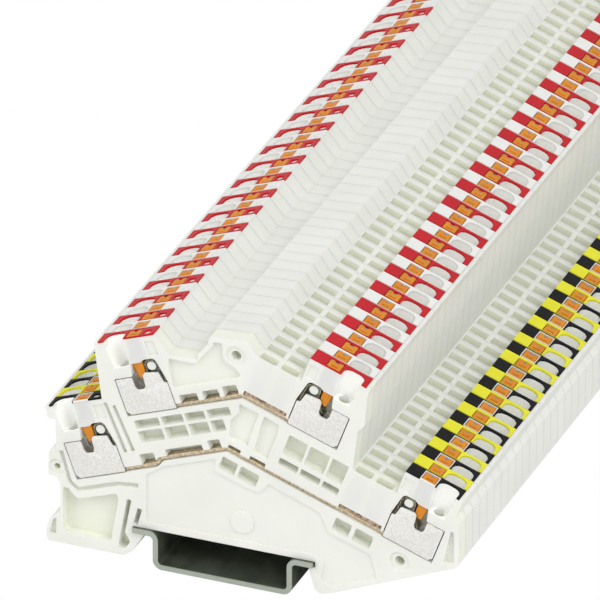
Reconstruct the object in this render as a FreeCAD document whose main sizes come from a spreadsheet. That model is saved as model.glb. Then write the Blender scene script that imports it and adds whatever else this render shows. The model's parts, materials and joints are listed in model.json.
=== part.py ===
import FreeCAD, Part
import math
import os

# A row of double-level push-in terminal blocks on a 35 mm top-hat rail, in millimetres.
# Origin: underside of the rail, on its centre line, at the middle of the row.
# +X runs across the rail, +Y along it away from the open block, +Z up.
# A block is drawn in its own frame: x across, z up from the rail's top faces, y from its open side.
# A clamp is drawn in a tilted frame: "out" points outwards down the slope and "up" square to it,
# from the centre of the boss that its spring hangs on.

SIZES = {
    "rail_width": (35.0, "over the flanges"),
    "rail_height": (7.5, "underside to the top of the flanges"),
    "rail_channel": (27.0, "outside width of the channel"),
    "rail_sheet": (1.0, "sheet thickness"),
    "rail_bend": (1.3, "bend radius on the sheet's centre line"),
    "rail_overhang": (0.8, "rail standing proud of the row at each end"),
    "rail_clearance": (0.2, "foot around a flange"),
    "block_count": (46, "blocks in the row"),
    "block_pitch": (3.5, "block width along the rail"),
    "block_gap": (0.06, "air between two housings"),
    "cavity_depth": (2.75, "pocket depth from the open side"),
    "clamp_tilt": (20.0, "slope of the clamps, degrees"),
    "upper_left_x": (-14.0, "boss across"),
    "upper_left_z": (33.2, "boss height"),
    "lower_left_x": (-24.0, "boss across"),
    "lower_left_z": (18.13, "boss height"),
    "upper_right_x": (17.2, "boss across"),
    "upper_right_z": (34.63, "boss height"),
    "lower_right_x": (35.5, "boss across"),
    "lower_right_z": (15.36, "boss height"),
    "boss_width": (1.7, "spring boss across"),
    "boss_top": (1.0, "spring boss above its centre"),
    "boss_foot": (0.65, "spring boss below its centre"),
    "fit_gap": (0.15, "around pieces laid in the housing"),
    "chamber_gap": (0.22, "around the cage in its chamber"),
    "marker_level": (6.5, "top of the marker above the boss"),
    "marker_sheet": (0.35, "marker thickness"),
    "marker_inner": (2.7, "marker end towards the middle of the block"),
    "upper_marker_outer": (8.65, "upper marker's outer end"),
    "lower_marker_outer": (8.2, "lower marker's outer end"),
    "marker_margin": (0.1, "marker edge inside the block's width"),
    "ridge_width": (0.7, "housing rim outside a marker"),
    "test_window": (1.5, "small window in a left marker"),
    "pusher_near": (0.3, "pusher side from the open side"),
    "pusher_width": (2.4, "pusher head along the row"),
    "pusher_inner": (0.4, "pusher head's inner end"),
    "pusher_length": (2.55, "pusher head across"),
    "pusher_neck": (3.2, "height where the head ends"),
    "pusher_notch": (0.75, "depth of the notch in the head"),
    "pusher_travel": (1.6, "travel to open the spring"),
    "tip_near": (0.45, "spring and pusher tip from the open side"),
    "tip_width": (1.8, "spring and pusher tip along the row"),
    "funnel_inner": (3.5, "wire funnel's inner side"),
    "funnel_width": (4.1, "wire funnel across at its mouth"),
    "funnel_reach": (2.8, "wire funnel into the block"),
    "funnel_corner": (1.5, "wire funnel's corner radius"),
    "funnel_taper": (5.0, "slope of the funnel's sides, degrees"),
    "funnel_floor": (0.9, "bottom of the funnel above the boss"),
    "wire_hole": (1.05, "radius of the wire's way into the clamp"),
    "plateau_level": (1.0, "bridge plateau above the boss"),
    "plateau_inner": (11.7, "plateau's inner end"),
    "slot_row_one": (9.7, "inner bridge slot from the boss"),
    "slot_row_two": (5.4, "outer bridge slot from the boss"),
    "slot_length": (3.4, "bridge slot across"),
    "slot_width": (2.0, "bridge slot along the row"),
    "slot_near": (0.3, "bridge slot from the open side"),
    "cage_sheet": (0.3, "sheet of the clamp cage"),
    "cage_near": (0.05, "cage from the open side"),
    "cage_width": (2.6, "cage along the row"),
    "cage_foot": (8.5, "cage's foot below the boss"),
    "cage_inner": (2.1, "cage's inner side from the boss"),
    "cage_outer": (7.85, "cage's outer side from the boss"),
    "cage_brow": (1.4, "cage's outer shoulder below the boss"),
    "spring_sheet": (0.3, "spring strip"),
    "spring_radius": (1.2, "spring's bend round the boss"),
    "bar_sheet": (0.65, "busbar thickness"),
    "bar_near": (0.5, "busbar from the open side"),
    "bar_width": (1.7, "busbar along the row"),
    "bar_reach": (6.0, "busbar's end inside a cage, from the boss"),
    "bar_step": (1.0, "rise of the lower busbar's step"),
    "bar_bend": (1.2, "bend radius of the busbars"),
    "contact_inner": (11.4, "bridge contact's inner end"),
    "contact_outer": (3.0, "bridge contact's outer end"),
    "contact_rise": (0.95, "bridge contact height"),
    "plain_radius": (1.1, "smallest corner that the blocks behind the open one keep"),
    "cell_depth": (2.2, "cells moulded in the open side"),
    "panel_depth": (0.8, "panels set back in the open side"),
    "recess_depth": (0.3, "shallow recesses in the open side"),
    "cover_hole_top": (0.95, "radius of the end cover's upper pin hole"),
    "cover_hole_right": (0.95, "radius of the end cover's right pin hole"),
    "cover_hole_left": (0.6, "radius of the end cover's left pin hole"),
    "cover_ring": (0.95, "shallow ring round a pin hole"),
    "cover_hole_depth": (2.4, "depth of the pin holes"),
}

doc = FreeCAD.newDocument("terminal_row")
sheet = doc.addObject("Spreadsheet::Sheet", "Sizes")
for line, (alias, (value, note)) in enumerate(SIZES.items(), start=1):
    sheet.set("A%d" % line, note)
    sheet.set("B%d" % line, str(value))
    sheet.setAlias("B%d" % line, alias)
doc.recompute()


def size(alias):
    return float(sheet.get(alias))


CLAMPS = {"upper_left": -1, "lower_left": -1, "upper_right": 1, "lower_right": 1}
BLOCK_COUNT = int(size("block_count"))
PITCH = size("block_pitch")
ROW_LENGTH = BLOCK_COUNT * PITCH
BAR_LEVEL = size("bar_sheet") + size("fit_gap") / 3 - size("cage_foot")
ACROSS = FreeCAD.Vector(0, 1, 0)
UP = FreeCAD.Vector(0, 0, 1)
nodes = []


# ---- outlines ----

def at(clamp, out, up):
    """A point of the block's frame from a clamp's own frame."""
    side = CLAMPS[clamp]
    tilt = math.radians(size("clamp_tilt"))
    x = size(clamp + "_x") + side * (out * math.cos(tilt) + up * math.sin(tilt))
    z = size(clamp + "_z") - out * math.sin(tilt) + up * math.cos(tilt)
    return x, z


def tilted(clamp, points):
    """An outline drawn in a clamp's frame, with its corner radii kept."""
    return [at(clamp, point[0], point[1]) + tuple(point[2:]) for point in points]


def rectangle(left, right, low, high, radius=0):
    return [(left, low, radius), (right, low, radius), (right, high, radius), (left, high, radius)]


def crossing(start_a, end_a, start_b, end_b):
    """Where the line through two points crosses the line through two others."""
    ax, az = end_a[0] - start_a[0], end_a[1] - start_a[1]
    bx, bz = end_b[0] - start_b[0], end_b[1] - start_b[1]
    cross = ax * bz - az * bx
    share = ((start_b[0] - start_a[0]) * bz - (start_b[1] - start_a[1]) * bx) / cross
    return start_a[0] + share * ax, start_a[1] + share * az


def rounding(before, here, after, radius):
    """Start, end, centre and radius of the arc that rounds a corner, within half of each side."""
    to_before, to_after = before - here, after - here
    turn = to_before.getAngle(to_after)
    reach = min(radius / math.tan(turn / 2), 0.49 * to_before.Length, 0.49 * to_after.Length)
    radius = reach * math.tan(turn / 2)
    to_before.normalize()
    to_after.normalize()
    middle = to_before + to_after
    middle.normalize()
    return here + to_before * reach, here + to_after * reach, here + middle * (radius / math.sin(turn / 2))


def arc_angles(start, end, centre):
    """Anticlockwise angles of a corner arc, and whether it runs that way from start to end."""
    first, last = start - centre, end - centre
    onward = first.cross(last).z > 0
    low, high = (first, last) if onward else (last, first)
    begin, finish = math.atan2(low.y, low.x), math.atan2(high.y, high.x)
    return begin, finish if finish > begin else finish + 2 * math.pi, onward


def vectors(points):
    return [FreeCAD.Vector(point[0], point[1], 0) for point in points]


def straight(points, closed):
    """The same points with large round corners cut into three runs and small ones left sharp."""
    runs = 3
    places = vectors(points)
    drawn = []
    for i, point in enumerate(points):
        ends = not closed and i in (0, len(points) - 1)
        if ends or len(point) < 3 or point[2] < size("plain_radius"):
            drawn.append(tuple(point[:2]) + (0,))
            continue
        after = places[(i + 1) % len(points)]
        start, end, centre = rounding(places[i - 1], places[i], after, point[2])
        begin, finish, onward = arc_angles(start, end, centre)
        steps = range(runs + 1) if onward else range(runs, -1, -1)
        for step in steps:
            angle = begin + (finish - begin) * step / runs
            radius = (start - centre).Length
            drawn.append((centre.x + radius * math.cos(angle), centre.y + radius * math.sin(angle), 0))
    return drawn


def edges(outline, plain=False):
    """Lines and corner arcs of a closed outline of (x, y) or (x, y, radius) points, or a whole circle."""
    if isinstance(outline, Part.Circle):
        return [outline]
    outline = straight(outline, True) if plain else outline
    places = vectors(outline)
    count = len(outline)
    corners = []
    for i, point in enumerate(outline):
        radius = point[2] if len(point) > 2 else 0
        if radius > 0:
            corners.append(rounding(places[i - 1], places[i], places[(i + 1) % count], radius))
        else:
            corners.append((places[i], places[i], None))
    drawn = []
    for i, (start, end, centre) in enumerate(corners):
        if centre is not None:
            begin, finish, _ = arc_angles(start, end, centre)
            drawn.append(Part.ArcOfCircle(Part.Circle(centre, UP, (start - centre).Length), begin, finish))
        following = corners[(i + 1) % count][0]
        if end.distanceToPoint(following) > 1e-6:
            drawn.append(Part.LineSegment(end, following))
    return drawn


def strip(path, thickness, plain=False):
    """Closed outline of a bent sheet from its centre line of (x, y) or (x, y, radius) points."""
    path = straight(path, False) if plain else path
    sides = []
    for shift in (thickness / 2, -thickness / 2):
        shifted = []
        for i, point in enumerate(path):
            lines = []
            for start, end in ((i - 1, i), (i, i + 1)):
                if start < 0 or end >= len(path):
                    continue
                (x1, y1), (x2, y2) = path[start][:2], path[end][:2]
                length = math.hypot(x2 - x1, y2 - y1)
                dx, dy = -(y2 - y1) / length * shift, (x2 - x1) / length * shift
                lines.append(((x1 + dx, y1 + dy), (x2 + dx, y2 + dy)))
            if len(lines) == 1:
                shifted.append(lines[0][0] if i == 0 else lines[0][1])
                continue
            (a, b), (c, d) = lines
            turn = (b[0] - a[0]) * (d[1] - c[1]) - (b[1] - a[1]) * (d[0] - c[0])
            radius = point[2] - shift if turn > 0 else point[2] + shift
            shifted.append(crossing(a, b, c, d) + (radius,))
        sides.append(shifted)
    return sides[0] + sides[1][::-1]


# ---- bodies ----

FRONT = "-Sizes.block_count * Sizes.block_pitch / 2"


def new_body(label, x="0", y="0", z="0", angle=0.0):
    """A body whose place is bound to the sheet, turned about the row's direction."""
    body = doc.addObject("PartDesign::Body", label)
    body.Label = label
    body.Placement = FreeCAD.Placement(FreeCAD.Vector(), FreeCAD.Rotation(ACROSS, angle))
    for axis, formula in (("x", x), ("y", y), ("z", z)):
        body.setExpression(".Placement.Base." + axis, formula)
    return body


def clamp_body(label, clamp):
    """A body in a clamp's frame, in the first block."""
    angle = CLAMPS[clamp] * size("clamp_tilt")
    return new_body(label, "Sizes.%s_x" % clamp, FRONT,
                    "Sizes.%s_z + Sizes.rail_height" % clamp, angle)


def draw(body, name, outlines, plain, role, offset):
    sketch = body.newObject("Sketcher::SketchObject", name + "_sketch")
    plane = [f for f in body.Origin.OriginFeatures if f.Role == role][0]
    sketch.AttachmentSupport = [(plane, "")]
    sketch.MapMode = "FlatFace"
    if offset is not None:
        sketch.AttachmentOffset = offset
    for outline in outlines:
        sketch.addGeometry(edges(outline, plain), False)
    return sketch


def pad(body, name, outlines, depth, near="0", plain=False, role="XZ_Plane", offset=None):
    """Material from one distance behind the open side, over a depth along the row."""
    sketch = draw(body, name, outlines, plain, role, offset)
    if offset is None:
        sketch.setExpression(".AttachmentOffset.Base.z", "-(%s)" % near)
    feature = body.newObject("PartDesign::Pad", name)
    feature.Profile = sketch
    feature.Reversed = role == "XZ_Plane"
    feature.Refine = False
    feature.setExpression("Length", depth)
    body.recompute(True)
    return feature


def cut(body, name, outlines, depth, near="0", plain=False, role="XZ_Plane", offset=None, taper=0.0):
    """A pocket that has to take material away."""
    before = body.Shape.Volume
    sketch = draw(body, name, outlines, plain, role, offset)
    if offset is None:
        sketch.setExpression(".AttachmentOffset.Base.z", "-(%s)" % near)
    feature = body.newObject("PartDesign::Pocket", name)
    feature.Profile = sketch
    feature.Refine = False
    feature.setExpression("Length", depth)
    feature.TaperAngle = taper
    body.recompute(True)
    if not body.Shape.Volume < before - 1e-6:
        raise RuntimeError("%s of %s cuts nothing" % (name, body.Label))
    return feature


def finished(body):
    """Joins faces that lie in one plane, once the last feature is in."""
    body.Tip.Refine = True
    body.recompute(True)
    return body


def keep(body):
    nodes.append(finished(body))
    return body


def keep_row(label, body, indices):
    """The same piece in further blocks of the row, as one node of separate solids."""
    solid = finished(body).Shape
    copies = [solid.translated(FreeCAD.Vector(0, index * PITCH, 0)) for index in indices]
    feature = doc.addObject("Part::Feature", label)
    feature.Label = label
    feature.Shape = Part.makeCompound(copies)
    nodes.append(feature)
    return feature


# ---- rail ----

def make_rail():
    half = size("rail_width") / 2
    wall = size("rail_channel") / 2 - size("rail_sheet") / 2
    top = size("rail_height") - size("rail_sheet") / 2
    web = size("rail_sheet") / 2
    bend = size("rail_bend")
    path = [(-half, top), (-wall, top, bend), (-wall, web, bend),
            (wall, web, bend), (wall, top, bend), (half, top)]
    body = new_body("rail", "0", FRONT + " - Sizes.rail_overhang")
    pad(body, "rail_section", [strip(path, size("rail_sheet"))],
        "Sizes.block_count * Sizes.block_pitch + 2 * Sizes.rail_overhang")
    return keep(body)


# ---- housing ----

def marker_outer(clamp):
    return size("upper_marker_outer" if clamp.startswith("upper") else "lower_marker_outer")


def marker_corners(clamp):
    """Housing under a marker: inner end, outer end, and the rim that stands outside it."""
    seat = size("marker_level") - size("marker_sheet")
    outer = marker_outer(clamp) + size("fit_gap") / 3
    rim = outer + size("ridge_width")
    top = size("marker_level")
    return [at(clamp, -size("marker_inner"), seat), at(clamp, outer, seat),
            at(clamp, outer, top), at(clamp, rim, top) + (0.2,)]


def block_outline():
    """The block's side view, clockwise from the foot under the left flange."""
    flange = size("rail_width") / 2 + size("rail_clearance")
    under = -size("rail_sheet") - size("rail_clearance")
    plateau = size("plateau_level")
    inner = -size("plateau_inner")
    wall = -size("marker_inner")
    foot = [(-flange, 0), (-flange, under), (-15.3, under, 0.3), (-17.8, -5.2, 0.6), (-19.5, -6.4, 0.5),
            (-34.2, -6.4, 0.4), (-34.6, -5.2, 1.0), (-34.5, -3.8, 1.0), (-33.8, -1.7, 1.0), (-31.8, 0, 0.8)]
    left_side = [(-31.8, 5.9, 0.3), (-32.4, 7.05, 0.2), (-34.1, 7.3, 0.3), (-34.0, 11.9, 0.4),
                 (-32.5, 13.4, 0.3), (-32.6, 18.8, 0.2), (-34.1, 18.9, 0.3)]
    left = marker_corners("lower_left")[::-1] + marker_corners("upper_left")[::-1]
    trough = [(-11.3, 37.2, 0.3), (-10.6, 36.5, 0.3), (-5.0, 36.6, 0.2), (-4.9, 37.9, 0.3),
              (-4.0, 38.9, 0.3), (-2.9, 40.2, 0.3), (-2.7, 41.8, 0.5), (4.6, 42.3, 0.8)]
    upper_right = [at("upper_right", inner, plateau) + (0.3,), at("upper_right", wall, plateau)]
    upper_right += marker_corners("upper_right")
    flank = [(27.6, 35.4, 0.6), (27.1, 29.6, 0.8), (25.8, 28.4, 0.6)]
    lower_right = [at("lower_right", inner, plateau) + (0.5,), at("lower_right", wall, plateau)]
    lower_right += marker_corners("lower_right")
    right_side = [(44.6, 14.6, 0.3), (45.3, 13.4, 0.3), (45.2, 4.6, 1.2), (20.5, -5.9, 1.5)]
    hook = [(18.6, -6.3, 0.8), (17.5, -5.5, 0.8), (16.4, under, 0.3), (flange, under), (flange, 0)]
    return (foot + left_side + left + trough + upper_right + flank + lower_right + right_side + hook)


def cage_outline():
    """Side view of a cage's cheek, with the bay for the spring and the pusher's tip in its top."""
    foot, inner = -size("cage_foot"), -size("cage_inner")
    outer, brow = size("cage_outer"), -size("cage_brow")
    bay = [(4.5, brow, 0.3), (4.5, -3.2, 0.5), (4.2, -3.9, 0.5), (2.8, -3.9, 0.5), (2.4, -3.3, 0.5),
           (2.2, -1.2, 0.3), (1.7, -0.8, 0.3)]
    shoulder = [(-1.0, -1.1, 0.3), (-1.5, -3.2, 0.2), (inner, -3.3, 0.1)]
    return [(inner, foot, 0.1), (outer - 0.7, foot), (outer, foot + 0.7), (outer, brow, 0.2)] + bay + shoulder


def pusher_outline(lift=0.0, grow=0.0):
    """Side view of the pusher's tip and neck, or of the way it slides in."""
    inner = size("pusher_inner") - grow
    outer = size("pusher_inner") + size("pusher_length") + grow
    neck = size("pusher_neck")
    tip = [(1.65 - grow, -0.7 - lift), (2.55 - grow, -1.85 - lift, 0.3),
           (3.15 + grow, -1.75 - lift, 0.3), (3.55 + grow, 1.15 - lift), (3.55 + grow, neck - 0.9)]
    return tip + [(outer, neck), (outer, neck + 0.4), (inner, neck + 0.4), (inner, neck),
                  (1.65 - grow, neck - 0.9)]


def clamp_pocket(clamp):
    """The chamber of a cage, its spring and the pusher's tip, open to the side."""
    gap = size("chamber_gap")
    foot, brow = -size("cage_foot") - gap, gap - size("cage_brow")
    inner, outer = -size("cage_inner") - gap, size("cage_outer") + gap
    spring_room = [(4.3, brow, 0.3), (3.75, 1.3, 0.2), (1.7, 1.3, 0.3), (0.9, 1.75, 0.8),
                   (-1.3, 1.75, 1.0), (-1.65, 0.2, 0.5)]
    around = [(inner, foot), (outer, foot), (outer, brow, 0.3)] + spring_room + [(inner, -3.1, 0.3)]
    return tilted(clamp, around)


def boss_outline(clamp, plain):
    """The spring's boss; a plain one is square, and small enough for the spring's bend."""
    share = 0.75 if plain else 1.0
    half = share * size("boss_width") / 2
    return tilted(clamp, rectangle(-half, half, -size("boss_foot"), share * size("boss_top"), 0.9 * half))


def bar_path(level):
    """Centre lines of the two busbars, each bent at the middle of the block."""
    end = size("bar_reach")
    upper = crossing(at("upper_left", 0, level), at("upper_left", 1, level),
                     at("upper_right", 0, level), at("upper_right", 1, level))
    raised = level + size("bar_step")
    lower = crossing(at("lower_left", 0, raised), at("lower_left", 1, raised),
                     at("lower_right", 0, level), at("lower_right", 1, level))
    bend = size("bar_bend")
    upper_path = [at("upper_left", end, level), upper + (bend,), at("upper_right", end, level)]
    lower_path = [at("lower_left", end, level), at("lower_left", -8.6, level) + (bend,),
                  at("lower_left", -10.0, raised) + (bend,), lower + (bend,), at("lower_right", end, level)]
    return {"upper": upper_path, "lower": lower_path}


def bar_outlines(extra=0.0, plain=False):
    thick = size("bar_sheet")
    paths = bar_path(BAR_LEVEL - thick / 2)
    return {name: strip(path, thick + 2 * extra, plain) for name, path in paths.items()}


def contact_outline(clamp, grow=0.0):
    return tilted(clamp, rectangle(-size("contact_inner") - grow, -size("contact_outer") + grow,
                                   BAR_LEVEL, BAR_LEVEL + size("contact_rise") + grow))


def slope_plane(clamp, out, level):
    """Sketch plane square to a clamp's "up", for cuts that run down into the slope."""
    x, z = at(clamp, out, level)
    angle = CLAMPS[clamp] * size("clamp_tilt")
    return FreeCAD.Placement(FreeCAD.Vector(x, 0, z), FreeCAD.Rotation(ACROSS, angle))


def circle(x, z, radius):
    return Part.Circle(FreeCAD.Vector(x, z, 0), UP, radius)


def grid(clamp, columns, rows, radius=0.3):
    """Cells between crossing ribs, in a clamp's frame."""
    return [tilted(clamp, rectangle(left, right, low, high, radius))
            for left, right in columns for low, high in rows]


def open_side_cells():
    """Deep cells moulded between the ribs of the open side."""
    foot = [(-31.3, -4.1, 1.0), (-22.0, -4.3, 1.0), (-20.4, 5.0, 0.8), (-20.9, 6.0, 0.4),
            (-28.3, 3.4, 0.6), (-29.4, 4.2, 0.5), (-30.2, 5.2, 0.4), (-31.3, 5.2, 0.4)]
    boot = [(-18.8, 5.3, 0.4), (-17.9, 5.3, 0.4), (-19.2, -1.6, 0.4), (-18.2, -3.4, 0.6),
            (-19.2, -5.0, 0.5), (-20.6, -5.0, 0.4)]
    slit = strip([(-16.3, 3.8), (-17.2, 0.4)], 0.9)
    cells = [foot, boot, slit]
    cells += grid("upper_left", [(-7.2, -3.2), (-2.7, 1.7), (2.2, 7.2)], [(-14.2, -11.9), (-11.4, -9.7)])
    cells += grid("upper_left", [(-12.4, -7.7)], [(-11.4, -9.7)])
    cells += grid("upper_left", [(-10.4, -7.7)], [(-14.2, -11.9)])
    cells += grid("lower_right", [(-24.7, -20.8), (-20.3, -16.3), (-15.8, -12.5)], [(-5.5, -4.0), (-3.0, 1.3)])
    cells += grid("lower_right", [(-34.4, -31.2), (-30.6, -26.8), (-11.1, -7.8), (-7.0, -3.4)], [(-12.5, -9.7)])
    return cells


def open_side_channels():
    """Room above the busbars, parted by teeth that hold them down."""
    deep = BAR_LEVEL - 0.2
    raised = deep + size("bar_step")
    upper = [(-7.1, -3.4, -6.1), (-11.5, -8.2, -6.0), (-15.4, -12.4, -5.7)]
    rooms = [tilted("upper_left", rectangle(left, right, deep, high, 0.3)) for left, right, high in upper]
    rooms.append(tilted("lower_left", rectangle(-9.0, -6.0, deep, -5.6, 0.3)))
    for left, right, high in ((-19.0, -11.4, -5.4), (-22.8, -20.3, -4.9)):
        rooms.append(tilted("lower_left", rectangle(left, right, raised, high, 0.3)))
    for left, right in ((-34.2, -31.7), (-29.8, -26.6)):
        rooms.append(tilted("lower_right", rectangle(left, right, deep, -6.8, 0.2)))
    return rooms


def open_side_panels():
    """Panels set back between the walls of the open side."""
    middle = [(-9.9, 29.8, 0.4), (-10.6, 33.0, 0.4), (-10.6, 35.8, 0.4), (-5.4, 35.8, 0.3),
              (-4.4, 37.2, 0.3), (-2.2, 39.8, 0.3), (-1.9, 40.9, 0.3), (-0.2, 41.0, 0.3),
              (0.0, 37.6, 0.8), (2.4, 36.4, 0.8), (3.4, 35.3, 0.4), (2.5, 34.4, 0.3)]
    between_bars = [(3.0, 29.4, 0.3), (6.9, 28.1, 0.3), (6.2, 26.2, 0.3), (4.6, 21.0, 0.3),
                    (1.0, 21.9, 0.3), (1.3, 25.6, 0.5), (2.9, 27.4, 0.3)]
    beside_it = [(7.9, 27.8, 0.3), (10.8, 26.6, 0.3), (10.4, 24.4, 0.3), (8.4, 19.0, 0.3),
                 (5.8, 20.0, 0.3), (7.2, 25.8, 0.3)]
    round_cage = strip([(-31.6, 12.6), (-29.9, 6.6, 0.9), (-28.3, 5.3, 0.9), (-20.5, 8.1, 0.9),
                        (-16.6, 8.5)], 0.9)
    ribs = [strip([(-23.0, 24.2), (-19.0, 14.8)], 0.8), strip([(-21.3, 24.0), (-17.5, 15.4)], 0.8)]
    heel = [(-34.0, -4.8, 0.3), (-32.7, -4.8, 0.3), (-32.6, -1.2, 0.2), (-33.3, -2.0, 0.3)]
    right_wall = [(43.8, 11.8, 0.2), (44.4, 11.4, 0.2), (44.4, 5.4, 0.4), (42.3, 4.8, 0.4)]
    return [middle, between_bars, beside_it, round_cage, heel, right_wall] + ribs


def open_side_recesses():
    """Shallow recesses in the open side, with the round pad left standing in the largest."""
    field = [(-15.1, 1.4, 0.8), (17.6, 1.4, 0.6), (19.4, 0.3, 0.8), (18.7, -3.4, 0.6), (20.3, -4.5, 0.8),
             (29.6, -0.9, 0.6), (28.4, 3.7, 0.8), (20.2, 6.6, 0.6), (18.7, 10.3, 0.6), (8.6, 14.1, 0.5),
             (6.9, 11.7, 0.8), (-1.9, 14.6, 0.6), (-1.4, 17.2, 0.4), (-11.8, 13.4, 0.6), (-15.1, 11.0, 0.6)]
    recesses = [field, circle(3.5, 5.15, 2.2)]
    for name, (x, z) in COVER_HOLES.items():
        recesses.append(circle(x, z, size(name) + size("cover_ring")))
    for clamp in CLAMPS:
        recesses.append(tilted(clamp, rectangle(-2.4, -0.4, 2.3, 5.2, 0.2)))
    return recesses


COVER_HOLES = {"cover_hole_top": (2.4, 38.9), "cover_hole_right": (33.9, 3.5), "cover_hole_left": (-32.45, 9.1)}


def make_housing(label, plain):
    """One moulded housing; a plain one has no ribs and cells, because its open side is covered."""
    gap = size("fit_gap")
    body = new_body(label, "0", FRONT, "Sizes.rail_height")
    pad(body, label + "_side", [block_outline()], "Sizes.block_pitch - Sizes.block_gap", plain=plain)
    cut(body, label + "_chambers", [clamp_pocket(c) for c in CLAMPS], "Sizes.cavity_depth", plain=plain)
    pad(body, label + "_bosses", [boss_outline(c, plain) for c in CLAMPS],
        "Sizes.cavity_depth - Sizes.tip_near + Sizes.cage_sheet", "Sizes.tip_near", plain)
    slide = pusher_outline(size("pusher_travel") - 0.9, gap)
    cut(body, label + "_tip_ways", [tilted(c, slide) for c in CLAMPS],
        "Sizes.cavity_depth - Sizes.pusher_near + Sizes.fit_gap", "Sizes.pusher_near - Sizes.fit_gap", plain)
    head = rectangle(size("pusher_inner") - gap, size("pusher_inner") + size("pusher_length") + gap,
                     size("pusher_neck") - size("pusher_travel") - 2 * gap, size("marker_level") + 1)
    cut(body, label + "_head_ways", [tilted(c, head) for c in CLAMPS],
        "Sizes.pusher_width + 2 * Sizes.fit_gap", "Sizes.pusher_near - Sizes.fit_gap", plain)
    bars = bar_outlines(gap, plain)
    cut(body, label + "_bar_channels", list(bars.values()),
        "Sizes.bar_width + Sizes.bar_near + Sizes.fit_gap", plain=plain)
    cut(body, label + "_contact_seats", [contact_outline(c, gap) for c in CLAMPS if CLAMPS[c] > 0],
        "Sizes.bar_width + Sizes.bar_near + Sizes.fit_gap", plain=plain)
    half = size("funnel_width") / 2
    mouth = rectangle(-half, half, -size("funnel_corner"), size("funnel_reach"), size("funnel_corner"))
    centre = size("funnel_inner") + half
    top = size("marker_level") - size("marker_sheet")
    hole, reach = size("wire_hole"), size("funnel_reach") / 2
    way = rectangle(-hole, hole, reach - hole, reach + hole, 0.98 * hole)
    for clamp, side in CLAMPS.items():
        cut(body, "%s_%s_funnel" % (label, clamp), [mouth],
            "Sizes.marker_level - Sizes.marker_sheet - Sizes.funnel_floor", plain=plain, role="XY_Plane",
            offset=slope_plane(clamp, centre, top), taper=-size("funnel_taper"))
        cut(body, "%s_%s_wire_way" % (label, clamp), [way], "Sizes.funnel_floor + 2", plain=plain,
            role="XY_Plane", offset=slope_plane(clamp, centre, size("funnel_floor") + 0.3))
        if side < 0:
            continue
        half_slot, near = size("slot_length") / 2, size("slot_near")
        step = size("slot_row_one") - size("slot_row_two")
        slots = [rectangle(shift - half_slot, shift + half_slot, near, near + size("slot_width"), 0.5)
                 for shift in (0, step)]
        cut(body, "%s_%s_slots" % (label, clamp), slots,
            "Sizes.plateau_level + Sizes.cage_foot - Sizes.contact_rise", plain=plain, role="XY_Plane",
            offset=slope_plane(clamp, -size("slot_row_one"), size("plateau_level")))
    if not plain:
        cut(body, label + "_cells", open_side_cells(), "Sizes.cell_depth")
        cut(body, label + "_bar_rooms", open_side_channels(), "Sizes.cell_depth")
        cut(body, label + "_panels", open_side_panels(), "Sizes.panel_depth")
        cut(body, label + "_recesses", open_side_recesses(), "Sizes.recess_depth")
        holes = [circle(x, z, size(name)) for name, (x, z) in COVER_HOLES.items()]
        cut(body, label + "_cover_holes", holes, "Sizes.cover_hole_depth")
    return body


# ---- pieces in a clamp's frame ----

def local(clamp, points):
    """An outline of a piece, mirrored for the clamps on the left."""
    return [(CLAMPS[clamp] * point[0],) + tuple(point[1:]) for point in points]


def make_cage(label, clamp, plain):
    """Bent sheet: two cheeks on either side of the busbar's end, a foot beyond it and an outer wall."""
    body = clamp_body(label, clamp)
    cheek = [local(clamp, cage_outline())]
    thick = size("cage_sheet")
    pad(body, label + "_near_cheek", cheek, "Sizes.cage_sheet", "Sizes.cage_near", plain)
    low, outer = -size("cage_foot"), size("cage_outer")
    foot = local(clamp, rectangle(size("bar_reach") + size("fit_gap"), outer - 0.8, low, low + thick))
    wall = local(clamp, rectangle(outer - thick, outer, low + 1.2, -size("cage_brow") - 0.2))
    pad(body, label + "_foot", [foot, wall], "Sizes.cage_width", "Sizes.cage_near", plain)
    pad(body, label + "_far_cheek", cheek, "Sizes.cage_sheet",
        "Sizes.cage_near + Sizes.cage_width - Sizes.cage_sheet", plain)
    return body


def make_spring(label, clamp, plain):
    """Steel strip hung round the boss, one leg under the pusher and one against the wire."""
    body = clamp_body(label, clamp)
    bend = size("spring_radius")
    path = [(3.2, -4.0), (2.3, -2.5, 0.6), (bend, -0.8, 0.6), (bend, 0.1 + bend, bend),
            (-bend, 0.1 + bend, bend), (-1.8, -3.2, 0.6), (-1.4, -5.2, 0.8), (3.3, -7.3)]
    pad(body, label + "_strip", [local(clamp, strip(path, size("spring_sheet"), plain))],
        "Sizes.tip_width", "Sizes.tip_near", plain)
    return body


def make_pusher(label, clamp, plain):
    body = clamp_body(label, clamp)
    neck = size("pusher_neck")
    inner = size("pusher_inner")
    outer = inner + size("pusher_length")
    pad(body, label + "_tip", [local(clamp, pusher_outline())], "Sizes.tip_width", "Sizes.tip_near", plain)
    pad(body, label + "_head", [local(clamp, rectangle(inner, outer, neck, size("marker_level")))],
        "Sizes.pusher_width", "Sizes.pusher_near", plain)
    top = FreeCAD.Placement(FreeCAD.Vector(0, 0, size("marker_level")), FreeCAD.Rotation())
    middle = (inner + outer) / 2
    far = size("pusher_near") + size("pusher_width")
    notch = [(middle - 0.5, far + 0.1), (middle + 0.5, far + 0.1), (middle + 0.12, far - size("pusher_notch")),
             (middle - 0.12, far - size("pusher_notch"))]
    cut(body, label + "_notch", [local(clamp, notch)], "1.8", plain=plain, role="XY_Plane", offset=top)
    near = size("pusher_near") + 0.45
    slot = rectangle(inner + 0.6, outer - 0.6, near, near + 0.5)
    cut(body, label + "_driver_slot", [local(clamp, slot)], "0.9", plain=plain, role="XY_Plane", offset=top)
    return body


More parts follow.
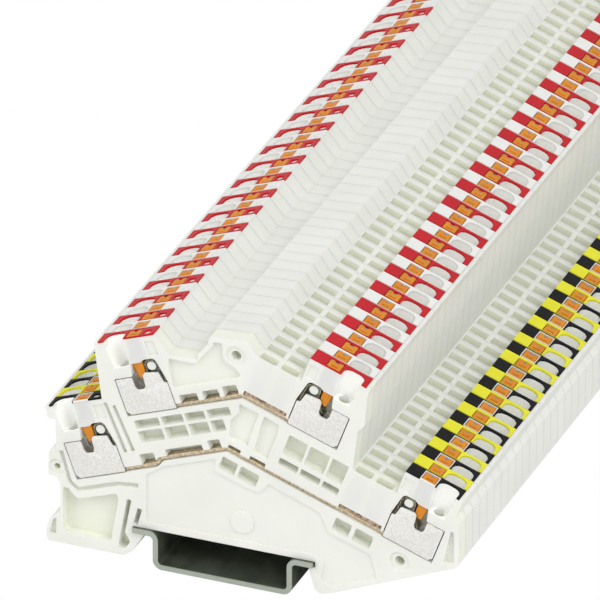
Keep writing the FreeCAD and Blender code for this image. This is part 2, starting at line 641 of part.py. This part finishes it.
def make_marker(label, clamp, plain):
    """Thin coloured insert with the pusher's window and a bay for the wire funnel."""
    body = clamp_body(label, clamp)
    gap = size("fit_gap")
    edge = size("marker_margin")
    far = size("block_pitch") - size("block_gap") - edge
    seat = FreeCAD.Placement(FreeCAD.Vector(0, 0, size("marker_level") - size("marker_sheet")),
                             FreeCAD.Rotation())
    top = FreeCAD.Placement(FreeCAD.Vector(0, 0, size("marker_level")), FreeCAD.Rotation())
    plate = local(clamp, rectangle(-size("marker_inner"), marker_outer(clamp), edge, far))
    pad(body, label + "_plate", [plate], "Sizes.marker_sheet", plain=plain, role="XY_Plane", offset=seat)
    near = size("pusher_near") - gap
    window = rectangle(size("pusher_inner") - gap, size("pusher_inner") + size("pusher_length") + gap,
                       near, near + size("pusher_width") + 2 * gap)
    half, reach = size("funnel_width") / 2, size("funnel_reach")
    centre = size("funnel_inner") + half
    bay = rectangle(centre - half, centre + half, -size("funnel_corner"), reach, size("funnel_corner"))
    openings = [local(clamp, window), local(clamp, bay)]
    if CLAMPS[clamp] < 0:
        test = rectangle(-1.9, -1.9 + size("test_window"), 0.5, 0.5 + size("test_window"), 0.3)
        openings.append(local(clamp, test))
    cut(body, label + "_openings", openings, "Sizes.marker_sheet", plain=plain, role="XY_Plane", offset=top)
    return body


def make_contact(label, clamp, plain):
    """Sheet channel on the busbar that takes the legs of a plug-in bridge."""
    body = clamp_body(label, clamp)
    thick = size("cage_sheet")
    low, high = BAR_LEVEL, BAR_LEVEL + size("contact_rise")
    inner, outer = -size("contact_inner"), -size("contact_outer")
    middle = -(size("slot_row_one") + size("slot_row_two")) / 2
    cheek = local(clamp, [(inner, low), (outer, low), (outer, high), (middle + 0.4, high),
                          (middle + 0.4, low + 0.5), (middle - 0.4, low + 0.5), (middle - 0.4, high),
                          (inner, high)])
    floor = local(clamp, rectangle(inner, outer, low, low + thick))
    pad(body, label + "_near_cheek", [cheek], "Sizes.cage_sheet", "Sizes.bar_near", plain)
    pad(body, label + "_floor", [floor], "Sizes.bar_width", "Sizes.bar_near", plain)
    pad(body, label + "_far_cheek", [cheek], "Sizes.cage_sheet",
        "Sizes.bar_near + Sizes.bar_width - Sizes.cage_sheet", plain)
    return body


def make_bar(label, level, plain):
    body = new_body(label, "0", FRONT, "Sizes.rail_height")
    pad(body, label + "_strip", [bar_outlines(0.0, plain)[level]], "Sizes.bar_width", "Sizes.bar_near", plain)
    return body


# ---- assembly ----

def build():
    behind = range(1, BLOCK_COUNT)
    odd, even = behind[1::2], behind[0::2]
    make_rail()
    keep(make_housing("housing_front", False))
    keep_row("housings_row", make_housing("housing_behind", True), behind)
    for level in ("upper", "lower"):
        keep(make_bar(level + "_busbar_front", level, False))
        keep_row(level + "_busbars_row", make_bar(level + "_bar_behind", level, True), behind)
    makers = {"clamp_cage": make_cage, "spring": make_spring, "pusher": make_pusher}
    for clamp, side in CLAMPS.items():
        for kind, maker in makers.items():
            keep(maker("%s_%s_front" % (kind, clamp), clamp, False))
            keep_row("%ss_%s_row" % (kind, clamp), maker("%s_%s_behind" % (kind, clamp), clamp, True), behind)
        keep(make_marker("marker_%s_front" % clamp, clamp, False))
        marker = make_marker("marker_%s_behind" % clamp, clamp, True)
        keep_row("markers_%s_odd" % clamp, marker, odd)
        keep_row("markers_%s_even" % clamp, marker, even)
        if side > 0:
            keep(make_contact("bridge_contact_%s_front" % clamp, clamp, False))
            keep_row("bridge_contacts_%s_row" % clamp, make_contact("contact_%s_behind" % clamp, clamp, True),
                     behind)


build()
doc.recompute()
for item in doc.Objects:
    if "Invalid" in item.State or "Error" in item.State:
        raise RuntimeError("%s failed: %s" % (item.Label, item.State))
os.makedirs("parts", exist_ok=True)
for item in nodes:
    if item.Shape.isNull() or not item.Shape.Solids[0].isValid():
        raise RuntimeError("%s has no valid shape" % item.Label)
for item in nodes:
    item.Shape.exportStep("parts/%s.step" % item.Label)
    print(item.Label, len(item.Shape.Solids), len(item.Shape.Faces))
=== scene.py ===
import json
import math
import bmesh
import bpy
from mathutils import Matrix, Vector

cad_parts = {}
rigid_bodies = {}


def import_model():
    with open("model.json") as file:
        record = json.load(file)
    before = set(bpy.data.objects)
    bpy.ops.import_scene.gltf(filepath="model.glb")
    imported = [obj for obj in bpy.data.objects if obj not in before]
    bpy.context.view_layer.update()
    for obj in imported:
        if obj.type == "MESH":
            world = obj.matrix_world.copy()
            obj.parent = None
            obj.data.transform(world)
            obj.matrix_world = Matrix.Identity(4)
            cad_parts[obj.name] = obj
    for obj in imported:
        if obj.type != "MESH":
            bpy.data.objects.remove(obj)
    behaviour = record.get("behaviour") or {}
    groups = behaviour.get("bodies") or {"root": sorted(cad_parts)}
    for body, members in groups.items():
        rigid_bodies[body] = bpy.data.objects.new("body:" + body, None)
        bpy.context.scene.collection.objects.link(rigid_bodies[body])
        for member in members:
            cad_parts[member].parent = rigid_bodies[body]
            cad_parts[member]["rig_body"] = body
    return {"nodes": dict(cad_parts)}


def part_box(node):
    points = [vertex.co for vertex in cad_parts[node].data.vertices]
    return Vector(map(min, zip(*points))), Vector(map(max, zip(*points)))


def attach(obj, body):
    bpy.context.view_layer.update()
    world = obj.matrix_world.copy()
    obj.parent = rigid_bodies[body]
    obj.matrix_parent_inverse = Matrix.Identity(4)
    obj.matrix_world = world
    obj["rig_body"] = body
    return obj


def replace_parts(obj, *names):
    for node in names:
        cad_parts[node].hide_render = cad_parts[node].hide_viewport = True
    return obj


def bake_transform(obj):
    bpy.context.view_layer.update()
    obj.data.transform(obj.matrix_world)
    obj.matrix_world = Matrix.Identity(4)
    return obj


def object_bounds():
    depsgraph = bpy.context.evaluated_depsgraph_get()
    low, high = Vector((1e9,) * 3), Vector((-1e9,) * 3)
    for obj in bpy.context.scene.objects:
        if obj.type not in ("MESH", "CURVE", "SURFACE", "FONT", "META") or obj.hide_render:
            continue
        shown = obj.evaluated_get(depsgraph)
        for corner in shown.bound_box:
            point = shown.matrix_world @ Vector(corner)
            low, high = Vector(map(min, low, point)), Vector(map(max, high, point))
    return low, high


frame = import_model()
cadLow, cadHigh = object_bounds()
nodes = frame["nodes"]
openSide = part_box("housing_front")[0][1]
print("frame loaded:", len(nodes), "nodes")


block = {"railHeight": 0.0075, "tilt": math.radians(20), "pitch": 0.0035, "count": 46}
# across, height and side of the boss that each clamp hangs on
bosses = {"upper_left": (-0.0140, 0.0332, -1), "lower_left": (-0.0240, 0.01813, -1),
          "upper_right": (0.0172, 0.03463, 1), "lower_right": (0.0355, 0.01536, 1)}


def clampPoint(clamp, out, up, y=0.0):
    # "out" points away from the block's middle and "up" along the pusher's axis
    x, z, side = bosses[clamp]
    cosine, sine = math.cos(block["tilt"]), math.sin(block["tilt"])
    return Vector((x + side * (out * cosine + up * sine), y,
                   z - out * sine + up * cosine + block["railHeight"]))


def effectGroup(name, inputs, outputs):
    # a shader node group with its sockets
    group = bpy.data.node_groups.new(name, "ShaderNodeTree")
    for label, kind, value in inputs:
        socket = group.interface.new_socket(label, in_out="INPUT", socket_type=kind)
        if value is not None:
            socket.default_value = value
    for label, kind in outputs:
        group.interface.new_socket(label, in_out="OUTPUT", socket_type=kind)
    start = group.nodes.new("NodeGroupInput")
    end = group.nodes.new("NodeGroupOutput")
    return group, start, end


def mottleGroup():
    group, start, end = effectGroup(
        "mottle",
        [("Vector", "NodeSocketVector", None), ("Scale", "NodeSocketFloat", 200.0),
         ("Detail", "NodeSocketFloat", 2.0), ("Low", "NodeSocketFloat", 0.3), ("High", "NodeSocketFloat", 0.7)],
        [("Mask", "NodeSocketFloat"), ("Height", "NodeSocketFloat")])
    noise = group.nodes.new("ShaderNodeTexNoise")
    spread = group.nodes.new("ShaderNodeMapRange")
    link = group.links.new
    link(start.outputs["Vector"], noise.inputs["Vector"])
    link(start.outputs["Scale"], noise.inputs["Scale"])
    link(start.outputs["Detail"], noise.inputs["Detail"])
    link(noise.outputs["Fac"], spread.inputs["Value"])
    link(start.outputs["Low"], spread.inputs["From Min"])
    link(start.outputs["High"], spread.inputs["From Max"])
    link(spread.outputs["Result"], end.inputs["Mask"])
    link(noise.outputs["Fac"], end.inputs["Height"])
    return group


def drawnGroup():
    # fine lines along one direction, as rolled or sheared metal has
    group, start, end = effectGroup(
        "drawnLines",
        [("Vector", "NodeSocketVector", None), ("Stretch", "NodeSocketVector", (1.0, 1.0, 1.0)),
         ("Scale", "NodeSocketFloat", 400.0)],
        [("Mask", "NodeSocketFloat")])
    mapping = group.nodes.new("ShaderNodeMapping")
    noise = group.nodes.new("ShaderNodeTexNoise")
    noise.inputs["Detail"].default_value = 4.0
    link = group.links.new
    link(start.outputs["Vector"], mapping.inputs["Vector"])
    link(start.outputs["Stretch"], mapping.inputs["Scale"])
    link(mapping.outputs["Vector"], noise.inputs["Vector"])
    link(start.outputs["Scale"], noise.inputs["Scale"])
    link(noise.outputs["Fac"], end.inputs["Mask"])
    return group


def depthGroup():
    # 0 near one level along the row, 1 at a second level farther in
    group, start, end = effectGroup(
        "pocketDepth",
        [("Vector", "NodeSocketVector", None), ("Near", "NodeSocketFloat", 0.0), ("Far", "NodeSocketFloat", 1.0)],
        [("Mask", "NodeSocketFloat")])
    parts = group.nodes.new("ShaderNodeSeparateXYZ")
    spread = group.nodes.new("ShaderNodeMapRange")
    link = group.links.new
    link(start.outputs["Vector"], parts.inputs["Vector"])
    link(parts.outputs["Y"], spread.inputs["Value"])
    link(start.outputs["Near"], spread.inputs["From Min"])
    link(start.outputs["Far"], spread.inputs["From Max"])
    link(spread.outputs["Result"], end.inputs["Mask"])
    return group


def boxGroup():
    # 1 inside a box that is turned round the row's axis, 0 outside
    group, start, end = effectGroup(
        "tiltedBox",
        [("Vector", "NodeSocketVector", None), ("Centre", "NodeSocketVector", (0.0, 0.0, 0.0)),
         ("Half", "NodeSocketVector", (1.0, 1.0, 1.0)), ("Turn", "NodeSocketFloat", 0.0)],
        [("Mask", "NodeSocketFloat")])
    offset = group.nodes.new("ShaderNodeVectorMath")
    offset.operation = "SUBTRACT"
    turned = group.nodes.new("ShaderNodeVectorRotate")
    turned.rotation_type = "Y_AXIS"
    size = group.nodes.new("ShaderNodeVectorMath")
    size.operation = "ABSOLUTE"
    inside = group.nodes.new("ShaderNodeVectorMath")
    inside.operation = "SUBTRACT"
    parts = group.nodes.new("ShaderNodeSeparateXYZ")
    across = group.nodes.new("ShaderNodeMath")
    across.operation = "MINIMUM"
    least = group.nodes.new("ShaderNodeMath")
    least.operation = "MINIMUM"
    mask = group.nodes.new("ShaderNodeMath")
    mask.operation = "GREATER_THAN"
    mask.inputs[1].default_value = 0.0
    link = group.links.new
    link(start.outputs["Vector"], offset.inputs[0])
    link(start.outputs["Centre"], offset.inputs[1])
    link(offset.outputs["Vector"], turned.inputs["Vector"])
    link(start.outputs["Turn"], turned.inputs["Angle"])
    link(turned.outputs["Vector"], size.inputs[0])
    link(start.outputs["Half"], inside.inputs[0])
    link(size.outputs["Vector"], inside.inputs[1])
    link(inside.outputs["Vector"], parts.inputs["Vector"])
    link(parts.outputs["X"], across.inputs[0])
    link(parts.outputs["Z"], across.inputs[1])
    link(across.outputs["Value"], least.inputs[0])
    link(parts.outputs["Y"], least.inputs[1])
    link(least.outputs["Value"], mask.inputs[0])
    link(mask.outputs["Value"], end.inputs["Mask"])
    return group


mottle = mottleGroup()
drawnLines = drawnGroup()
pocketDepth = depthGroup()
tiltedBox = boxGroup()


class Finish:
    # a material with its Principled BSDF, object coordinates and small helpers
    def __init__(self, name, metallic=0.0):
        self.material = bpy.data.materials.new(name)
        self.material.use_nodes = True
        tree = self.material.node_tree
        self.nodes, self.link = tree.nodes, tree.links.new
        self.shader = tree.nodes["Principled BSDF"]
        self.shader.inputs["Metallic"].default_value = metallic
        self.place = self.nodes.new("ShaderNodeTexCoord").outputs["Object"]

    def effect(self, group, **values):
        node = self.nodes.new("ShaderNodeGroup")
        node.node_tree = group
        self.link(self.place, node.inputs["Vector"])
        for label, value in values.items():
            node.inputs[label].default_value = value
        return node

    def mix(self, factor, first, second):
        node = self.nodes.new("ShaderNodeMix")
        node.data_type = "RGBA"
        self.link(factor, node.inputs["Factor"])
        for socket, colour in ((node.inputs["A"], first), (node.inputs["B"], second)):
            if isinstance(colour, tuple):
                socket.default_value = (*colour, 1.0)
            else:
                self.link(colour, socket)
        return node.outputs["Result"]

    def spread(self, value, low, high):
        node = self.nodes.new("ShaderNodeMapRange")
        self.link(value, node.inputs["Value"])
        node.inputs["To Min"].default_value = low
        node.inputs["To Max"].default_value = high
        return node.outputs["Result"]

    def colour(self, output):
        self.link(output, self.shader.inputs["Base Color"])

    def roughness(self, value, low, high):
        self.link(self.spread(value, low, high), self.shader.inputs["Roughness"])

    def bump(self, height, distance, strength):
        node = self.nodes.new("ShaderNodeBump")
        node.inputs["Distance"].default_value = distance
        node.inputs["Strength"].default_value = strength
        self.link(height, node.inputs["Height"])
        self.link(node.outputs["Normal"], self.shader.inputs["Normal"])


# boxes are inner, outer, low and high in a clamp's frame
housing = {
    # painted shade: the greenish recess tint is laid on deeper into the block
    "pale": (0.84, 0.845, 0.80), "cool": (0.79, 0.80, 0.75), "deep": (0.86, 0.88, 0.76),
    # painted light: the lighter slot and funnel colours stand in for light glowing through the plastic into those
    # hollows
    "slots": (0.97, 0.985, 0.84), "slotBox": (-0.0114, -0.0032, -0.008, 0.00095),
    "funnels": (0.98, 0.985, 0.94), "funnelBox": (0.0036, 0.0075, 0.0, 0.0061),
    "face": 0.00005, "halfRow": 1.0, "pockets": (0.0001, 0.0026),
    "cloud": 90.0, "grain": 2600.0, "rough": (0.38, 0.55), "bump": (0.00002, 0.25),
    "glow": 0.3, "glowColour": (1.0, 0.95, 0.7), "glowReach": 0.0015, "ior": 1.52,
}


def clampMask(finish, clamp, box):
    # marks the walls of openings that run down into a clamp's slope, for the painted light laid on them
    inner, outer, low, high = box
    side, half = bosses[clamp][2], housing["halfRow"]
    middle = clampPoint(clamp, (inner + outer) / 2, (low + high) / 2, openSide + housing["face"] + half)
    node = finish.effect(tiltedBox, Turn=-side * block["tilt"], Centre=middle,
                         Half=((outer - inner) / 2, half, (high - low) / 2))
    return node.outputs["Mask"]


def housingFinish(name, paintsRecessTint):
    finish = Finish(name)
    cloud = finish.effect(mottle, Scale=housing["cloud"])
    grain = finish.effect(mottle, Scale=housing["grain"])
    base = finish.mix(cloud.outputs["Mask"], housing["pale"], housing["cool"])
    if paintsRecessTint:
        # painted shade: deeper into the block the colour turns greenish, standing in for the shading in the
        # recesses and the light tinted by passing through the plastic
        near, far = (openSide + depth for depth in housing["pockets"])
        base = finish.mix(finish.effect(pocketDepth, Near=near, Far=far).outputs["Mask"], base, housing["deep"])
    for clamp, (across, height, side) in bosses.items():
        # painted light: funnel and bridge-slot walls get a lighter colour, standing in for light glowing through
        # the plastic into these hollows
        base = finish.mix(clampMask(finish, clamp, housing["funnelBox"]), base, housing["funnels"])
        if side > 0:  # only the right side has bridge slots
            base = finish.mix(clampMask(finish, clamp, housing["slotBox"]), base, housing["slots"])
    finish.colour(base)
    finish.roughness(grain.outputs["Mask"], *housing["rough"])
    finish.bump(grain.outputs["Height"], *housing["bump"])
    finish.shader.inputs["Subsurface Weight"].default_value = housing["glow"]
    finish.shader.inputs["Subsurface Radius"].default_value = housing["glowColour"]
    finish.shader.inputs["Subsurface Scale"].default_value = housing["glowReach"]
    finish.shader.inputs["IOR"].default_value = housing["ior"]
    return finish.material


# each plastic's colour, its shade in the mottling, and its gloss
plastics = {
    "markerRed": ((0.58, 0.002, 0.012), (0.48, 0.002, 0.01), 0.3),
    "markerWhite": ((0.84, 0.84, 0.82), (0.80, 0.81, 0.79), 0.3),
    "markerBlack": ((0.005, 0.005, 0.007), (0.009, 0.008, 0.01), 0.12),
    "markerYellow": ((0.82, 0.80, 0.03), (0.76, 0.74, 0.02), 0.3),
    "pusherOrange": ((0.74, 0.27, 0.014), (0.64, 0.22, 0.01), 0.3),
    "collarWhite": ((0.86, 0.86, 0.83), (0.82, 0.825, 0.79), 0.3),
}
plasticSurface = {"cloud": 260.0, "cloudDetail": 3.0, "grain": 3200.0, "rough": (0.38, 0.52),
                  "bump": (0.00001, 0.2)}


def plasticFinish(name):
    colour, shade, gloss = plastics[name]
    finish = Finish(name)
    cloud = finish.effect(mottle, Scale=plasticSurface["cloud"], Detail=plasticSurface["cloudDetail"])
    grain = finish.effect(mottle, Scale=plasticSurface["grain"])
    finish.colour(finish.mix(cloud.outputs["Mask"], colour, shade))
    finish.roughness(grain.outputs["Mask"], *plasticSurface["rough"])
    finish.bump(grain.outputs["Height"], *plasticSurface["bump"])
    finish.shader.inputs["Specular IOR Level"].default_value = gloss
    return finish.material


metals = {
    "cageTin": {"bright": (0.84, 0.83, 0.80), "dull": (0.70, 0.69, 0.66), "bloom": 3600.0,
                "rough": (0.4, 0.6), "stretch": (1.0, 1.0, 1.0), "metallic": 0.4},
    "springSteel": {"bright": (0.34, 0.32, 0.22), "dull": (0.10, 0.095, 0.06), "bloom": 2400.0,
                    "rough": (0.22, 0.42), "stretch": (1.0, 1.0, 1.0), "metallic": 1.0},
    "busbarTan": {"bright": (0.74, 0.62, 0.44), "dull": (0.46, 0.36, 0.25), "bloom": 1800.0,
                  "rough": (0.3, 0.5), "stretch": (1.0, 12.0, 1.0), "metallic": 0.7},
    "contactCopper": {"bright": (0.62, 0.47, 0.34), "dull": (0.20, 0.13, 0.09), "bloom": 1500.0,
                      "rough": (0.25, 0.5), "stretch": (1.0, 1.0, 1.0), "metallic": 0.8},
}
metalSurface = {"lines": 900.0, "bump": (0.00002, 0.3), "bloomDetail": 5.0, "bloomLow": 0.38, "bloomHigh": 0.62}


def metalFinish(name):
    metal = metals[name]
    finish = Finish(name, metal["metallic"])
    bloom = finish.effect(mottle, Scale=metal["bloom"], Detail=metalSurface["bloomDetail"],
                          Low=metalSurface["bloomLow"], High=metalSurface["bloomHigh"])
    drawn = finish.effect(drawnLines, Stretch=metal["stretch"], Scale=metalSurface["lines"])
    finish.colour(finish.mix(bloom.outputs["Mask"], metal["bright"], metal["dull"]))
    finish.roughness(drawn.outputs["Mask"], *metal["rough"])
    finish.bump(drawn.outputs["Mask"], *metalSurface["bump"])
    return finish.material


# the two dark olive colours are painted shade for the rail's inside, mottled at random; the cut colour is the
# bright sawn end
rail = {"cut": (0.42, 0.46, 0.40), "skin": (0.10, 0.12, 0.09), "worn": (0.16, 0.18, 0.14), "ends": (0.0001, 0.0003),
        "bloom": 300.0, "bloomDetail": 4.0, "bloomLow": 0.35, "bloomHigh": 0.65,
        "stretch": (1.0, 0.08, 1.0), "rough": (0.35, 0.6), "metallic": 0.7}


def railFinish(name):
    # painted shade: near-black olive on every surface behind the sawn end, standing in for the shadow inside the
    # rail; bright metal where the end was sawn
    finish = Finish(name, rail["metallic"])
    bloom = finish.effect(mottle, Scale=rail["bloom"], Detail=rail["bloomDetail"],
                          Low=rail["bloomLow"], High=rail["bloomHigh"])
    drawn = finish.effect(drawnLines, Stretch=rail["stretch"], Scale=metalSurface["lines"])
    near, far = (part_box("rail")[0][1] + depth for depth in rail["ends"])
    # painted shade: 0 on the sawn end face, 1 farther in, where the dark colours are laid on
    paintedShadeMask = finish.effect(pocketDepth, Near=near, Far=far)
    skin = finish.mix(bloom.outputs["Mask"], rail["skin"], rail["worn"])
    finish.colour(finish.mix(paintedShadeMask.outputs["Mask"], rail["cut"], skin))
    finish.roughness(drawn.outputs["Mask"], *rail["rough"])
    finish.bump(drawn.outputs["Mask"], *metalSurface["bump"])
    return finish.material


finishes = {"housingFront": housingFinish("housingFront", True), "housingRow": housingFinish("housingRow", False)}
finishes.update({name: plasticFinish(name) for name in plastics})
finishes.update({name: metalFinish(name) for name in metals})
finishes["railZinc"] = railFinish("railZinc")
print("materials:", len(finishes))


def paint(piece, finish):
    piece.data.materials.clear()
    piece.data.materials.append(finishes[finish])


def finishOf(name):
    if name.startswith("housing"):
        return "housingFront" if name == "housing_front" else "housingRow"
    if name.startswith("marker"):
        even = name.endswith("_even")
        if "upper" in name:
            return "markerWhite" if even else "markerRed"
        return "markerYellow" if even else "markerBlack"
    kinds = {"rail": "railZinc", "pusher": "pusherOrange", "clamp": "cageTin", "spring": "springSteel",
             "bridge": "contactCopper", "upper": "busbarTan", "lower": "busbarTan"}
    return [finish for start, finish in kinds.items() if name.startswith(start)][0]


def madePiece(name, mesh, smooth=True):
    # the mesh as an object of its own, with crisp edges where faces meet sharply
    data = bpy.data.meshes.new(name)
    mesh.to_mesh(data)
    mesh.free()
    piece = bpy.data.objects.new(name, data)
    bpy.context.scene.collection.objects.link(piece)
    if smooth:
        for polygon in data.polygons:
            polygon.use_smooth = True
        data.set_sharp_from_angle(angle=softEdges["crisp"])
    return piece


for name, node in nodes.items():
    paint(node, finishOf(name))


softEdges = {"angle": math.radians(28), "crisp": math.radians(40), "flat": math.radians(0.5), "merge": 1e-6,
             "pusher": 0.00009, "metal": 0.00005}


def softened(name, width, segments):
    # a copy of the solid with its sharp edges broken, as moulding and punching leave them
    source = nodes[name]
    mesh = bmesh.new()
    mesh.from_mesh(source.data)
    bmesh.ops.remove_doubles(mesh, verts=mesh.verts, dist=softEdges["merge"])
    bmesh.ops.dissolve_limit(mesh, angle_limit=softEdges["flat"], verts=mesh.verts, edges=mesh.edges)
    sharp = [edge for edge in mesh.edges
             if edge.is_manifold and edge.calc_face_angle() > softEdges["angle"]]
    bmesh.ops.bevel(mesh, geom=sharp, offset=width, offset_type="OFFSET", affect="EDGES", segments=segments,
                    profile=0.5, material=-1, clamp_overlap=True)
    bmesh.ops.remove_doubles(mesh, verts=mesh.verts, dist=softEdges["merge"])
    piece = madePiece(name + "Soft", mesh)
    paint(piece, finishOf(name))
    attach(piece, source["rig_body"])
    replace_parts(piece, name)


for name in sorted(nodes):
    if name.startswith("pusher"):
        softened(name, softEdges["pusher"], 2 if name.endswith("_front") else 1)
    elif name.endswith("_front") and not name.startswith(("housing", "marker", "spring")):
        softened(name, softEdges["metal"], 1)
print("edges softened")


# the spring is cut into bow, leg and arm; the bow and the arm stay on the boss, the leg under the pusher is baked
# in place on no body
springs = {"level": -0.0008, "legEnd": -0.0041, "split": ((0.0, -0.0015), (0.0036, -0.0056))}


def springPiece(name, clamp, part):
    source = nodes[name]
    mesh = bmesh.new()
    mesh.from_mesh(source.data)
    bmesh.ops.remove_doubles(mesh, verts=mesh.verts, dist=softEdges["merge"])
    above = (clampPoint(clamp, 0, 1) - clampPoint(clamp, 0, 0)).normalized()
    level = clampPoint(clamp, 0, springs["level"])
    first, second = (clampPoint(clamp, *point) for point in springs["split"])
    along = (second - first).normalized()
    across = above - along * above.dot(along)
    cuts = {"bow": [(level, -above)], "leg": [(level, above), (first, -across)],
            "arm": [(level, above), (first, across)]}[part]
    for point, outer in cuts:
        everything = list(mesh.verts) + list(mesh.edges) + list(mesh.faces)
        bmesh.ops.bisect_plane(mesh, geom=everything, dist=softEdges["merge"], plane_co=point, plane_no=outer,
                               clear_outer=True)
        rim = [edge for edge in mesh.edges if edge.is_boundary]
        bmesh.ops.holes_fill(mesh, edges=rim, sides=0)
    if not mesh.verts:
        raise ValueError("nothing left of " + name + " " + part)
    piece = madePiece(name + part.title(), mesh)
    paint(piece, "springSteel")
    if part == "leg":
        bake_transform(piece)
    else:
        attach(piece, source["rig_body"])
    return piece


for name in sorted(nodes):
    if name.startswith("spring"):
        clamp = [row for row in bosses if row in name][0]
        for part in ("bow", "leg", "arm"):
            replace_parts(springPiece(name, clamp, part), name)
print("springs split")


collar = {"width": 0.00309, "length": 0.00294, "out": 0.001675, "near": 0.0015, "wall": 0.0002,
          "high": 0.00655, "depth": 0.00035}


def addCollars(clamp):
    # white frame of the housing that shows between each black marker and its pusher
    up = (clampPoint(clamp, 0, 1) - clampPoint(clamp, 0, 0)).normalized()
    out = (clampPoint(clamp, 1, 0) - clampPoint(clamp, 0, 0)).normalized()
    turn = Matrix((out * collar["width"], Vector((0, collar["length"], 0)), up)).transposed().to_4x4()
    mesh = bmesh.new()
    for number in range(0, block["count"], 2):  # every other marker is black
        start = openSide + number * block["pitch"]
        middle = clampPoint(clamp, collar["out"], collar["high"], start + collar["near"])
        bmesh.ops.create_grid(mesh, x_segments=1, y_segments=1, size=0.5, matrix=Matrix.Translation(middle) @ turn)
    plates = list(mesh.faces)
    bmesh.ops.inset_individual(mesh, faces=plates, thickness=collar["wall"])
    bmesh.ops.delete(mesh, geom=plates, context="FACES")
    lower = bmesh.ops.extrude_face_region(mesh, geom=list(mesh.faces))["geom"]
    bmesh.ops.translate(mesh, verts=[item for item in lower if isinstance(item, bmesh.types.BMVert)],
                        vec=-up * collar["depth"])
    bmesh.ops.recalc_face_normals(mesh, faces=mesh.faces)
    piece = madePiece(clamp + "_collars", mesh, smooth=False)
    paint(piece, "collarWhite")
    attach(piece, nodes["housing_front"]["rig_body"])


for clamp in ("lower_left", "lower_right"):
    addCollars(clamp)
print("collars added")


stage = {"floorSize": 6.0, "floorDrop": 0.0002, "floorColour": (0.90, 0.90, 0.90, 1.0), "floorRough": 0.9,
         "white": 1.0, "roomColour": (1.0, 0.995, 0.98, 1.0), "room": 0.64}


def addFloor():
    mesh = bmesh.new()
    bmesh.ops.create_grid(mesh, x_segments=1, y_segments=1, size=stage["floorSize"] / 2)
    bmesh.ops.translate(mesh, verts=mesh.verts, vec=Vector((0, 0, cadLow[2] - stage["floorDrop"])))
    floor = madePiece("floor", mesh, smooth=False)
    material = bpy.data.materials.new("floorWhite")
    material.use_nodes = True
    tree = material.node_tree
    shader = tree.nodes["Principled BSDF"]
    shader.inputs["Base Color"].default_value = stage["floorColour"]
    shader.inputs["Roughness"].default_value = stage["floorRough"]
    shader.inputs["Specular IOR Level"].default_value = 0.0
    glow = tree.nodes.new("ShaderNodeEmission")
    glow.inputs["Strength"].default_value = stage["white"]
    rays = tree.nodes.new("ShaderNodeLightPath")
    mixer = tree.nodes.new("ShaderNodeMixShader")
    tree.links.new(rays.outputs["Is Camera Ray"], mixer.inputs["Fac"])
    tree.links.new(shader.outputs["BSDF"], mixer.inputs[1])
    tree.links.new(glow.outputs["Emission"], mixer.inputs[2])
    tree.links.new(mixer.outputs["Shader"], tree.nodes["Material Output"].inputs["Surface"])
    floor.data.materials.append(material)


def addWorld():
    # white to the camera and to reflections, a softer light on the object
    world = bpy.data.worlds.new("studio")
    bpy.context.scene.world = world
    world.use_nodes = True
    tree = world.node_tree
    room = tree.nodes["Background"]
    room.inputs["Color"].default_value = stage["roomColour"]
    room.inputs["Strength"].default_value = stage["room"]
    white = tree.nodes.new("ShaderNodeBackground")
    white.inputs["Strength"].default_value = stage["white"]
    rays = tree.nodes.new("ShaderNodeLightPath")
    seen = tree.nodes.new("ShaderNodeMath")
    seen.operation = "MAXIMUM"
    mixer = tree.nodes.new("ShaderNodeMixShader")
    tree.links.new(rays.outputs["Is Camera Ray"], seen.inputs[0])
    tree.links.new(rays.outputs["Is Glossy Ray"], seen.inputs[1])
    tree.links.new(seen.outputs["Value"], mixer.inputs["Fac"])
    tree.links.new(room.outputs["Background"], mixer.inputs[1])
    tree.links.new(white.outputs["Background"], mixer.inputs[2])
    tree.links.new(mixer.outputs["Shader"], tree.nodes["World Output"].inputs["Surface"])


lamps = {"keyLamp": {"place": (0.9, -0.8, 1.3), "size": 0.9, "power": 12.0},
         "fillLamp": {"place": (-1.1, -0.9, 0.8), "size": 1.2, "power": 6.0}}
lampAim = (0, 0, 0.03)


def addLamp(name):
    lamp = bpy.data.lights.new(name, "AREA")
    lamp.shape = "DISK"
    lamp.size = lamps[name]["size"]
    lamp.energy = lamps[name]["power"]
    piece = bpy.data.objects.new(name, lamp)
    piece.location = lamps[name]["place"]
    piece.rotation_euler = (Vector(lampAim) - piece.location).to_track_quat("-Z", "Y").to_euler()
    bpy.context.scene.collection.objects.link(piece)


view = {"azimuth": 21.96, "elevation": 28.53, "distance": 3.0, "lens": 1005.3, "farthest": 100.0,
        "aim": (0.0, openSide, 0.0275), "right": 0.0137, "up": 0.02623}


def addCamera():
    azimuth, elevation = math.radians(view["azimuth"]), math.radians(view["elevation"])
    right = Vector((math.cos(azimuth), math.sin(azimuth), 0))
    forward = Vector((-math.sin(azimuth) * math.cos(elevation), math.cos(azimuth) * math.cos(elevation),
                      -math.sin(elevation)))
    up = right.cross(forward)
    target = Vector(view["aim"]) + right * view["right"] + up * view["up"]
    data = bpy.data.cameras.new("camera")
    data.lens = view["lens"]
    data.clip_end = view["farthest"]
    camera = bpy.data.objects.new("camera", data)
    turn = Matrix((right, up, -forward)).transposed()
    camera.matrix_world = Matrix.Translation(target - forward * view["distance"]) @ turn.to_4x4()
    bpy.context.scene.collection.objects.link(camera)
    bpy.context.scene.camera = camera


addFloor()
addWorld()
for name in lamps:
    addLamp(name)
addCamera()
bpy.context.scene.view_settings.view_transform = "Standard"
print("stage, light and camera")
